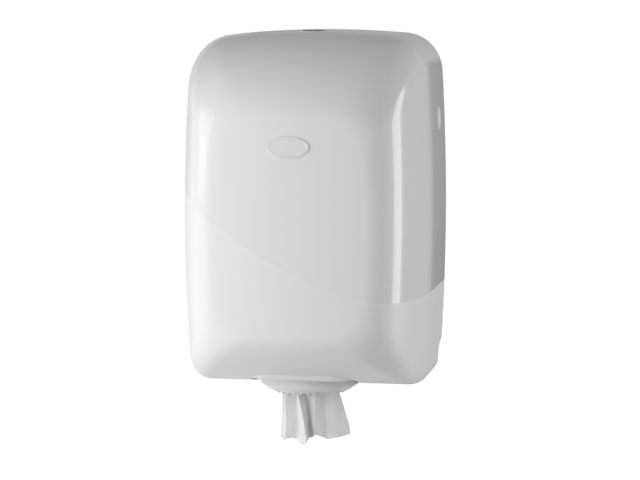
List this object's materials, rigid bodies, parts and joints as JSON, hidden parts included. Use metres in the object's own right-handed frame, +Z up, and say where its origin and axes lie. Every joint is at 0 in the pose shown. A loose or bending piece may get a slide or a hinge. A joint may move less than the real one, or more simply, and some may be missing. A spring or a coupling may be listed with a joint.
{
  "type": "centrefeed roll dispenser",
  "caption": "Wall-mounted centrefeed roll dispenser: rounded hood hinged at the foot over a back plate, roll shelf, funnel outlet with toothed ring, top lock, and a hanging paper tail.",
  "frame": {"origin": "centre of the four wall screw holes, on the wall face", "axes": "+Y into the wall, +Z up, -Y the front, +X to the right seen from the front"},
  "size_m": [0.24, 0.2266, 0.4025],
  "materials": {
    "cover_gloss": "gloss above a sweeping line, satin below it",
    "cover_satin": "satin",
    "inner_plastic": "satin moulded",
    "zinc": "zinc plated",
    "pin_steel": "plain",
    "clear": "clear frosted",
    "lock_dark": "dark satin",
    "lock_metal": "brushed",
    "paper": "soft tissue"
  },
  "bodies": {
    "fixed": {"back_plate": "inner_plastic", "roll_shelf": "inner_plastic", "shelf_screws": "zinc", "nozzle_cone": "cover_satin", "nozzle_screws": "zinc", "tear_ring": "cover_satin", "strike_bracket": "inner_plastic", "strike_screws": "zinc", "hinge_pin_left": "pin_steel", "hinge_pin_right": "pin_steel"},
    "cover": {"cover_shell": "cover_gloss", "badge": "cover_gloss", "window_left": "clear", "window_right": "clear", "lock_housing": "lock_dark", "lock_nut": "lock_dark"},
    "lock": {"lock_barrel": "lock_metal", "lock_cam": "zinc", "cam_screw": "zinc"},
    "roll": {"paper_roll": "paper"},
    "tail": {"paper_tail": "paper"}
  },
  "joints": [
    {"name": "cover_open", "type": "hinge", "parent": "fixed", "child": "cover", "pos_m": [0, -0.027, -0.1527], "axis": [1, 0, 0], "range_deg": [0, 85]},
    {"name": "lock_turn", "type": "hinge", "parent": "cover", "child": "lock", "pos_m": [0, -0.0915, 0.16], "axis": [0, 0, -1], "range_deg": [0, 90]},
    {"name": "roll_turn", "type": "hinge", "parent": "fixed", "child": "roll", "pos_m": [0, -0.11, 0], "axis": [0, 0, 1], "continuous": true},
    {"name": "paper_pull", "type": "slide", "parent": "roll", "child": "tail", "axis": [0, 0, -1], "range_m": [0, 0.025]}
  ]
}
